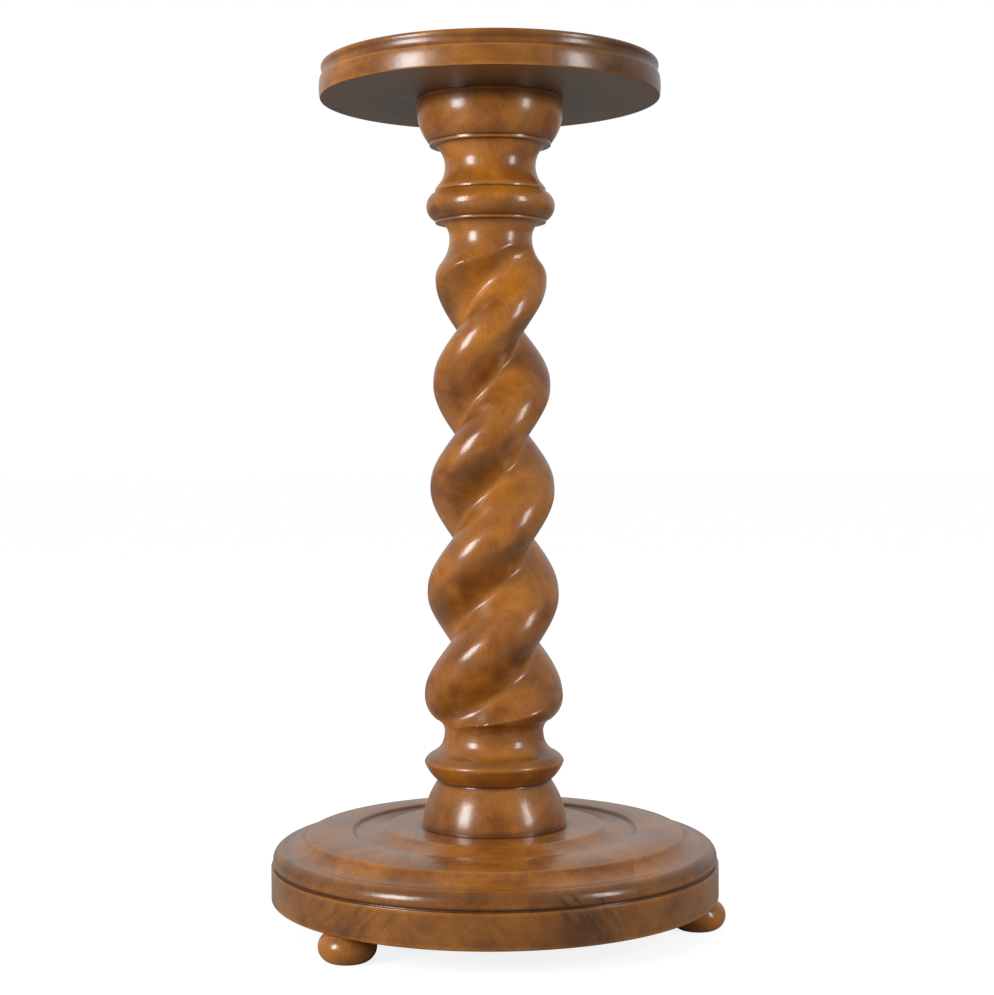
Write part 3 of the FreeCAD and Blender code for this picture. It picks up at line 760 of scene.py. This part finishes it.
def bine_sizes(tree, size, height):
    """The bines' radius and the rounding of the valley at each height. The radius tapers evenly, and
    near both ends it grows, so that the hollows run out."""
    bine = add(tree, RANGE, {
        "Value": height, "From Min": size["Lower Height"], "From Max": size["Upper Height"],
        "To Min": size["Lower Radius"], "To Max": size["Upper Radius"],
    }, clamp=False)
    ends = [
        (add(tree, MATH, {0: height, 1: size["Lower End"]}, operation="SUBTRACT"), "Lower"),
        (add(tree, MATH, {0: size["Upper End"], 1: height}, operation="SUBTRACT"), "Upper"),
    ]
    ease = size["Valley Ease"]
    for distance, end in ends:
        near = add(tree, RANGE, {
            "Value": distance, "From Min": size["Spoon Length"], "From Max": 0.0,
            "To Max": size["Spoon Ease"],
        }, interpolation_type="SMOOTHSTEP")
        ease = add(tree, MATH, {0: ease, 1: near}, operation="ADD")
        share = add(tree, MATH, {0: distance, 1: size[end + " Runout"]}, operation="DIVIDE")
        missing = add(tree, MATH, {0: 1.0, 1: share}, operation="SUBTRACT")
        inside = add(tree, MATH, {0: missing, 1: 0.0}, operation="MAXIMUM")
        growth = add(tree, MATH, {0: inside, 1: 2.0}, operation="POWER")
        lack = add(tree, MATH, {0: size[end + " Full"], 1: bine}, operation="SUBTRACT")
        bine = add(tree, MATH, {0: lack, 1: growth, 2: bine}, operation="MULTIPLY_ADD")
    return bine, ease


def section_radius(tree, size, bine, ease, angle):
    """The radius of two overlapping rounds, at an angle from the crest of the nearer one."""
    cosine = add(tree, MATH, {0: angle}, operation="COSINE")
    sine = add(tree, MATH, {0: angle}, operation="SINE")
    reach = add(tree, MATH, {0: size["Bine Offset"], 1: cosine}, operation="MULTIPLY")
    reach_squared = add(tree, MATH, {0: reach, 1: reach}, operation="MULTIPLY")
    eased = add(tree, MATH, {0: ease, 1: ease, 2: reach_squared}, operation="MULTIPLY_ADD")
    crest = add(tree, MATH, {0: eased}, operation="SQRT")
    side = add(tree, MATH, {0: size["Bine Offset"], 1: sine}, operation="MULTIPLY")
    side_squared = add(tree, MATH, {0: side, 1: side}, operation="MULTIPLY")
    bine_squared = add(tree, MATH, {0: bine, 1: bine}, operation="MULTIPLY")
    rest = add(tree, MATH, {0: bine_squared, 1: side_squared}, operation="SUBTRACT")
    round_part = add(tree, MATH, {0: rest}, operation="SQRT")
    return add(tree, MATH, {0: crest, 1: round_part}, operation="ADD")


print("pitch", round(twist_sizes["Pitch"] / MM, 1), "mm")

# %% [markdown]
# ## Painted light and shade on the twist
#
# The valleys are painted paler, as painted light on their upward flanks. The lower side of each bine
# is darker in patches, as painted shade with some stain. Both go into the attribute that the turning
# started.

# %% Painted light and shade on the twist
SHADE_PATCH_MM = 36.0
VALLEY_LIGHT = -0.5


def twist_marks(tree, size, place, angle, depth):
    """The attribute of stain and painted light after carving to a depth below the blank: painted light
    in the valleys, painted shade with some stain in patches on the lower side of each bine.
    """
    deep = add(tree, RANGE, {"Value": depth, "From Min": 4 * MM, "From Max": 20 * MM})
    deep_enough = add(tree, RANGE, {"Value": depth, "From Min": 0.5 * MM, "From Max": 3 * MM})
    cosine = add(tree, MATH, {0: angle}, operation="COSINE")
    folded = add(tree, MATH, {0: cosine}, operation="ABSOLUTE")
    narrow = add(tree, RANGE, {"Value": folded, "From Min": 0.5, "From Max": 0.0})
    valley = add(tree, MATH, {0: deep, 1: narrow}, operation="MULTIPLY")
    turned = add(tree, "GeometryNodeInputNamedAttribute", {"Name": "hollow"}, data_type="FLOAT")
    # Painted light: the valleys are drawn paler
    valley_lit = add(tree, MATH, {0: valley, 1: VALLEY_LIGHT, 2: turned}, operation="MULTIPLY_ADD")
    # Painted shade, with some stain, in patches on the lower side of each bine
    twice = add(tree, MATH, {0: angle, 1: 2.0}, operation="MULTIPLY")
    side_wave = add(tree, MATH, {0: twice}, operation="SINE")
    lower_side = add(tree, MATH, {0: side_wave, 1: 0.0}, operation="MAXIMUM")
    lower_side_shade = add(tree, MATH, {0: lower_side, 1: deep_enough}, operation="MULTIPLY")
    patchy = add(tree, NOISE, {"Vector": place, "Scale": per_mm(SHADE_PATCH_MM), "Detail": 2.0})
    patch = add(tree, RANGE, {"Value": patchy, "From Min": 0.40, "From Max": 0.62})
    patchy_shade = add(tree, MATH, {0: lower_side_shade, 1: patch}, operation="MULTIPLY")
    return add(tree, MATH, {0: patchy_shade, 1: size["Lower Side Shade"], 2: valley_lit}, operation="MULTIPLY_ADD")


print("stain patches", SHADE_PATCH_MM, "mm wide")

# %% [markdown]
# ## Carving
#
# The tree moves each point of the blank straight in towards the axis, to the radius of the section at
# its height and angle. Where the section is wider than the blank, nothing is cut, and the change from
# one to the other is blended, as a carver softens the lip. Hand tools leave it a little uneven.

# %% Carving tree
TOOL_MARK_MM = 28.0
LIP_BLEND_MM = 3.0
LEAST_RADIUS_M = 1e-6


def carving_tree(sizes):
    """A tree that carves two bines into a turned blank standing on the Z axis."""
    tree = bpy.data.node_groups.new("carve_barley_twist", "GeometryNodeTree")
    tree.interface.new_socket("Geometry", in_out="INPUT", socket_type="NodeSocketGeometry")
    for name in sizes:
        tree.interface.new_socket(name, in_out="INPUT", socket_type="NodeSocketFloat")
    tree.interface.new_socket("Finish", in_out="INPUT", socket_type="NodeSocketMaterial")
    tree.interface.new_socket("Geometry", in_out="OUTPUT", socket_type="NodeSocketGeometry")
    size = tree.nodes.new("NodeGroupInput").outputs
    place = add(tree, "GeometryNodeInputPosition")
    axes = add(tree, "ShaderNodeSeparateXYZ", {0: place}).node.outputs

    # Angle from the crest of the nearer bine
    azimuth = add(tree, MATH, {0: axes["Y"], 1: axes["X"]}, operation="ARCTAN2")
    climb = add(tree, MATH, {0: axes["Z"], 1: size["Crest Height"]}, operation="SUBTRACT")
    turns = add(tree, MATH, {0: climb, 1: size["Pitch"]}, operation="DIVIDE")
    turn = add(tree, MATH, {0: turns, 1: 2 * math.pi}, operation="MULTIPLY")
    angle = add(tree, MATH, {0: azimuth, 1: turn}, operation="SUBTRACT")

    # Radius after carving
    bine, ease = bine_sizes(tree, size, axes["Z"])
    smooth_radius = section_radius(tree, size, bine, ease, angle)
    wander = add(tree, NOISE, {"Vector": place, "Scale": per_mm(TOOL_MARK_MM), "Detail": 1.0})
    centred = add(tree, MATH, {0: wander, 1: 0.5}, operation="SUBTRACT")
    carved_radius = add(tree, MATH, {
        0: centred, 1: size["Tool Marks"], 2: smooth_radius,
    }, operation="MULTIPLY_ADD")
    flat = add(tree, "ShaderNodeCombineXYZ", {"X": axes["X"], "Y": axes["Y"]})
    blank = add(tree, VECTOR_MATH, {0: flat}, operation="LENGTH").node.outputs["Value"]
    safe_blank = add(tree, MATH, {0: blank, 1: LEAST_RADIUS_M}, operation="MAXIMUM")
    kept_radius = add(tree, MATH, {
        0: safe_blank, 1: carved_radius, 2: LIP_BLEND_MM * MM,
    }, operation="SMOOTH_MIN")

    # New place, and new stain with painted light and shade
    share = add(tree, MATH, {0: kept_radius, 1: safe_blank}, operation="DIVIDE")
    shrink = add(tree, "ShaderNodeCombineXYZ", {"X": share, "Y": share, "Z": 1.0})
    moved = add(tree, VECTOR_MATH, {0: place, 1: shrink}, operation="MULTIPLY")
    depth = add(tree, MATH, {0: safe_blank, 1: kept_radius}, operation="SUBTRACT")
    marked = add(tree, "GeometryNodeStoreNamedAttribute", {
        "Geometry": size["Geometry"], "Name": "hollow",
        "Value": twist_marks(tree, size, place, angle, depth),
    }, data_type="FLOAT", domain="POINT")
    carved = add(tree, "GeometryNodeSetPosition", {"Geometry": marked, "Position": moved})
    real = add(tree, "GeometryNodeRealizeInstances", {"Geometry": carved})
    finished = add(tree, "GeometryNodeSetMaterial", {"Geometry": real, "Material": size["Finish"]})
    add(tree, "NodeGroupOutput", {"Geometry": finished})
    return tree


twist_tree = carving_tree(twist_sizes)
print("carving tree:", len(twist_tree.nodes), "nodes,", len(twist_sizes), "sizes")

# %% [markdown]
# ## The carved column
#
# A tree could stay on the piece as a modifier. It is run once here instead and its result kept as a
# plain mesh, because a finished piece goes out of Blender as a mesh. The column gets darker towards
# its foot, and its pith line lies outside it, as in a blank that was sawn beside the heart.

# %% Column
COLUMN_PITH_MM = (62.0, 30.0, 0.0)


def apply_tree(mesh, tree, values):
    """Runs a tree on a mesh and returns the result as a plain mesh."""
    carrier = bpy.data.objects.new(mesh.name + "_carrier", mesh)
    scene.collection.objects.link(carrier)
    modifier = carrier.modifiers.new("nodes", "NODES")
    modifier.node_group = tree
    for socket in tree.interface.items_tree:
        if socket.in_out == "INPUT" and socket.name in values:
            modifier[socket.identifier] = values[socket.name]
    depsgraph = bpy.context.evaluated_depsgraph_get()
    result = bpy.data.meshes.new_from_object(carrier.evaluated_get(depsgraph))
    bpy.data.objects.remove(carrier)
    return result


column_shade = ("Z", (PAD, 0.90), (TOP_BOTTOM, 1.12))
column_wood = stained_beech("stained_beech_column", GRAIN_UP, COLUMN_PITH_MM, column_shade)
column_mesh = apply_tree(blank_mesh, twist_tree, {**twist_sizes, "Finish": column_wood})
finish_piece("carved_column", column_mesh, column_wood, "column")

# %% [markdown]
# ## Boards for the top and the base
#
# Discs this wide are glued up from boards, edge to edge, before they are turned. Each disc is spun
# whole and then cut along its glue lines, so every board is a piece of its own, with its own grain
# running from front to back. That is why the rim shows end grain at the front. Undersides have a
# duller varnish, and painted shade makes them darker.

# %% Cutting a disc into boards
DISC_SEGMENTS = 288


def cut_board(disc, name, left, right):
    """The part of a disc between two upright glue lines (None is the rim), as a closed mesh."""
    bm = bmesh.new()
    bm.from_mesh(disc)
    for edge, away in ((left, -1), (right, 1)):
        if edge is None:
            continue
        bmesh.ops.bisect_plane(
            bm, geom=bm.verts[:] + bm.edges[:] + bm.faces[:],
            plane_co=(edge * MM, 0, 0), plane_no=(away, 0, 0), clear_outer=True,
        )
        open_edges = [e for e in bm.edges if e.is_boundary]
        filled = bmesh.ops.holes_fill(bm, edges=open_edges, sides=0)["faces"]
        bmesh.ops.triangulate(bm, faces=filled, ngon_method="EAR_CLIP")
    bmesh.ops.recalc_face_normals(bm, faces=bm.faces)
    mesh = bpy.data.meshes.new(name)
    bm.to_mesh(mesh)
    bm.free()
    return mesh


def make_boards(disc, joints, boards, ray_relief, underside_painted_shade):
    """Cuts a disc at its joints. Each board has a node, the place of its pith across and below, its
    lightness at both sides, and how much its end grain darkens and streaks. The underside's
    lightness, next to the rest, is painted shade."""
    edges = [None, *joints, None]
    for board, left, right in zip(boards, edges[:-1], edges[1:]):
        node, across, below, left_shade, right_shade, end_stain, streaks = board
        low, high = in_mm(node)
        pith = (across, below, 0.0)
        shade = ("X", (low.x, left_shade), (high.x, right_shade))
        wood = stained_beech(
            "stained_beech_" + node, GRAIN_TO_BACK, pith, shade, end_stain, streaks, ray_relief,
            ray_reach=max(RAY_REACH_MM, low.z - below),
        )
        # The underside is a darker copy of the board's wood, as painted shade
        dim = ("X", (low.x, underside_painted_shade), (high.x, underside_painted_shade))
        under = stained_beech("stained_beech_painted_shade_under_" + node, GRAIN_TO_BACK, pith, dim, film_roughness=DULL)
        finish_piece(node + "_turned", cut_board(disc, node, left, right), wood, node, underside=under)


print("glue lines of the top at", [round(x) for x in TOP_JOINTS], "mm")

# %% [markdown]
# ## The top
#
# The top carries the pot. Its edge has a slightly swelled band, a shallow cove and a rounded lip, and
# a blind mortise in its underside takes the column's tenon. The boards are drawn darker towards the
# right, the right-hand board most.

# %% Top
MORTISE_ROOM = 0.1
MORTISE_DEPTH_ROOM = 1.0
TOP_MORTISE_RADIUS = TOP_TENON_RADIUS + MORTISE_ROOM
TOP_MORTISE_ROOF = TOP_BOTTOM + TOP_TENON_LENGTH + MORTISE_DEPTH_ROOM
TOP_BAND_RADIUS = 126.3
TOP_LIP_RADIUS = 125.4
top_outline = [
    (TOP_MORTISE_RADIUS, TOP_BOTTOM, 0),
    (TOP_BAND_RADIUS, TOP_BOTTOM, 0.65),
    (TOP_BAND_RADIUS, TOP_FACE - 10.6, 0),
    (TOP_LIP_RADIUS, TOP_FACE - 10.6, -0.8),
    (TOP_LIP_RADIUS, TOP_FACE - 3.2, 0.9),
    (123.6, TOP_FACE, 0),
    (0.0, TOP_FACE, 0),
    (0.0, TOP_MORTISE_ROOF, 0),
    (TOP_MORTISE_RADIUS, TOP_MORTISE_ROOF, 0),
]
# Painted shade on the underside round the cup, and a darker lip
top_marks = [(CUP_RADIUS, TOP_BOTTOM, 70.0, 1.3), (125.0, TOP_FACE - 2.0, 6.0, 0.65)]
top_disc = spin("top_disc", trace(top_outline), DISC_SEGMENTS, marks=top_marks)
make_boards(top_disc, TOP_JOINTS, [
    ("top_board_left", -84.0, -506.0, 0.96, 0.86, 0.0, 0.3),
    ("top_board_centre", 10.0, -520.0, 0.92, 0.82, 0.0, 0.3),
    ("top_board_right", 70.0, -480.0, 0.76, 0.24, 0.0, 0.3),
], ray_relief=0.20, underside_painted_shade=0.30)

# %% [markdown]
# ## The base
#
# The base keeps the stand from tipping. From the floor up it has a plain band, a quirk, an ovolo, a
# cove, a crowned ring, a wide shallow groove and the raised pad that the column stands on. A mortise
# takes the column's tenon from above, and a recess below hides the head of the screw.

# %% Base
BASE_MORTISE_RADIUS = TENON_RADIUS + MORTISE_ROOM
BASE_MORTISE_FLOOR = PAD - TENON_LENGTH - MORTISE_DEPTH_ROOM
SCREW_HOLE_RADIUS = 4.5
RECESS_RADIUS = 14.0
RECESS_DEPTH = 9.0
RECESS_TOP = BASE_BOTTOM + RECESS_DEPTH
BASE_CHAMFER = 0.9
RING_INSIDE_RADIUS = 106.5
GROOVE_OUTSIDE_RADIUS = 104.4
PAD_RADIUS = 79.5
base_outline = [
    # Underside and plain band
    (RECESS_RADIUS, BASE_BOTTOM, 0),
    (BASE_RADIUS - BASE_CHAMFER, BASE_BOTTOM, 0),
    (BASE_RADIUS, BASE_BOTTOM + BASE_CHAMFER, 0),
    (BASE_RADIUS, PAD - 25.8, 0),
    # Quirk, ovolo and cove
    (BASE_RADIUS - 2.4, PAD - 25.8, 0),
    (BASE_RADIUS - 2.4, PAD - 24.6, 0),
    (BASE_RADIUS - 1.9, PAD - 24.6, 2.75),
    (BASE_RADIUS - 7.4, PAD - 13.0, 0),
    (BASE_RADIUS - 9.6, PAD - 13.0, -2.4),
    # Crowned ring, groove and pad
    (BASE_RADIUS - 26.5, PAD - 4.6, 1.3),
    (RING_INSIDE_RADIUS, PAD - 2.2, 0),
    (GROOVE_OUTSIDE_RADIUS, PAD - 4.3, -1.7),
    (PAD_RADIUS, PAD, 0),
    # Mortise, screw hole and recess
    (BASE_MORTISE_RADIUS, PAD, 0),
    (BASE_MORTISE_RADIUS, BASE_MORTISE_FLOOR, 0),
    (SCREW_HOLE_RADIUS, BASE_MORTISE_FLOOR, 0),
    (SCREW_HOLE_RADIUS, RECESS_TOP, 0),
    (RECESS_RADIUS, RECESS_TOP, 0),
]
base_marks = [
    # Dark joint of the column on the pad, painted shade in the corner of the groove, a darker ovolo,
    # stain and painted shade in the quirk, and a darker band
    (BULB_RADIUS, PAD, 5.0, 1.0),
    (104.0, PAD - 4.0, 2.5, 0.7),
    (BASE_RADIUS - 4.0, PAD - 18.5, 12.0, 0.75),
    (BASE_RADIUS - 2.4, PAD - 25.2, 3.2, 1.4),
    (BASE_RADIUS, PAD - 38.0, 16.0, 0.4),
]
base_disc = spin("base_disc", trace(base_outline), DISC_SEGMENTS, marks=base_marks)
make_boards(base_disc, BASE_JOINTS, [
    ("base_board_left", -223.0, -137.0, 0.86, 0.94, 0.0, 0.9),
    ("base_board_centre", -130.0, 60.0, 0.94, 0.92, 0.0, 0.35),
    ("base_board_right", -62.0, 47.0, 0.92, 0.92, 0.50, 0.8),
    ("base_board_far_right", 230.0, -120.0, 0.92, 0.92, 0.0, 0.3),
], ray_relief=0.10, underside_painted_shade=0.5)

# %% [markdown]
# ## Bun feet
#
# Three small turned buns carry the stand. Each has a spigot that is glued into the base. Three feet
# never rock, and one outline, spun at three places, serves them all.

# %% Feet
FOOT_SEGMENTS = 96
FOOT_TRACE_STEP = 1.0
FOOT_CONTACT_RADIUS = 13.5
FOOT_NECK_RADIUS = 14.6
FOOT_SWELL = 6.35
SPIGOT_RADIUS = 7.0
FOOT_PITH_RIGHT = 40
FOOT_PITH_BACK = -25
# Painted light: the feet are drawn lighter, most at the floor
FOOT_PAINTED_LIGHT = ("Z", (0, 1.2), (20, 1.05))
for node in ("foot_front_left", "foot_right", "foot_rear"):
    foot_low, foot_high = in_mm(node)
    middle = (foot_low + foot_high) / 2
    foot_outline = [
        (0.0, 0.0, 0),
        (FOOT_CONTACT_RADIUS, 0.0, FOOT_SWELL),
        (FOOT_NECK_RADIUS, BASE_BOTTOM, 0),
        (SPIGOT_RADIUS, BASE_BOTTOM, 0),
        (SPIGOT_RADIUS, foot_high.z, 0),
        (0.0, foot_high.z, 0),
    ]
    foot_points = trace(foot_outline, step=FOOT_TRACE_STEP)
    foot_mesh = spin(node, foot_points, FOOT_SEGMENTS, centre=middle.xy)
    foot_pith = (middle.x + FOOT_PITH_RIGHT, middle.y + FOOT_PITH_BACK, 0.0)
    foot_wood = stained_beech("stained_beech_" + node, GRAIN_UP, foot_pith, FOOT_PAINTED_LIGHT)
    finish_piece(node + "_turned", foot_mesh, foot_wood, node)

# %% [markdown]
# ## What is hidden
#
# The dowels in the glue lines and the coach screw with its washer keep their shapes from the frame.
# The dowels are bare beech, and the screw and washer are zinc-plated steel. At most the screw's head
# shows, from below, so two simple finishes are enough.

# %% Bare beech and zinc plate
BARE_PALE = "#D9B98E"
BARE_DARK = "#B98F5E"
DOWEL_FIBRE_ALONG_MM = 30
DOWEL_FIBRE_ACROSS_MM = 0.7
ZINC_PALE = "#C9CACA"
ZINC_DARK = "#A7A8A2"
SPANGLE_MM = 4


def bare_beech():
    """Planed beech without finish: pale, fibrous and matt."""
    material = bpy.data.materials.new("bare_beech")
    material.use_nodes = True
    tree = material.node_tree
    tree.nodes.clear()
    here = add(tree, "ShaderNodeTexCoord").node.outputs["Object"]
    across = per_mm(DOWEL_FIBRE_ACROSS_MM)
    stretch = (per_mm(DOWEL_FIBRE_ALONG_MM), across, across)
    place = add(tree, VECTOR_MATH, {0: here, 1: stretch}, operation="MULTIPLY")
    fibres = add(tree, NOISE, {"Vector": place, "Scale": 1.0, "Detail": 3.0})
    colour = add(tree, MIX, {"Fac": fibres, "Color1": linear(BARE_PALE), "Color2": linear(BARE_DARK)})
    relief = add(tree, "ShaderNodeBump", {"Height": fibres, "Strength": 0.3, "Distance": 0.1 * MM})
    wood = add(tree, "ShaderNodeBsdfPrincipled", {
        "Base Color": colour, "Roughness": 0.7, "Normal": relief,
    })
    add(tree, "ShaderNodeOutputMaterial", {"Surface": wood})
    return material


def zinc_plate():
    """Zinc-plated steel: bright grey metal with faint cloudy spangle."""
    material = bpy.data.materials.new("zinc_plated_steel")
    material.use_nodes = True
    tree = material.node_tree
    tree.nodes.clear()
    here = add(tree, "ShaderNodeTexCoord").node.outputs["Object"]
    cloud = add(tree, NOISE, {"Vector": here, "Scale": per_mm(SPANGLE_MM), "Detail": 3.0})
    colour = add(tree, MIX, {"Fac": cloud, "Color1": linear(ZINC_PALE), "Color2": linear(ZINC_DARK)})
    rough = add(tree, RANGE, {"Value": cloud, "To Min": 0.25, "To Max": 0.5})
    steel = add(tree, "ShaderNodeBsdfPrincipled", {
        "Base Color": colour, "Metallic": 1.0, "Roughness": rough,
    })
    add(tree, "ShaderNodeOutputMaterial", {"Surface": steel})
    return material


def refinish(material, *nodes):
    """Gives pieces of the frame a material and leaves their shapes alone."""
    for node in nodes:
        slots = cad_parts[node].material_slots
        slots[0].material = material
    print(material.name, "on", nodes)


refinish(bare_beech(), "top_edge_dowels", "base_edge_dowels")
refinish(zinc_plate(), "coach_screw", "coach_screw_washer")
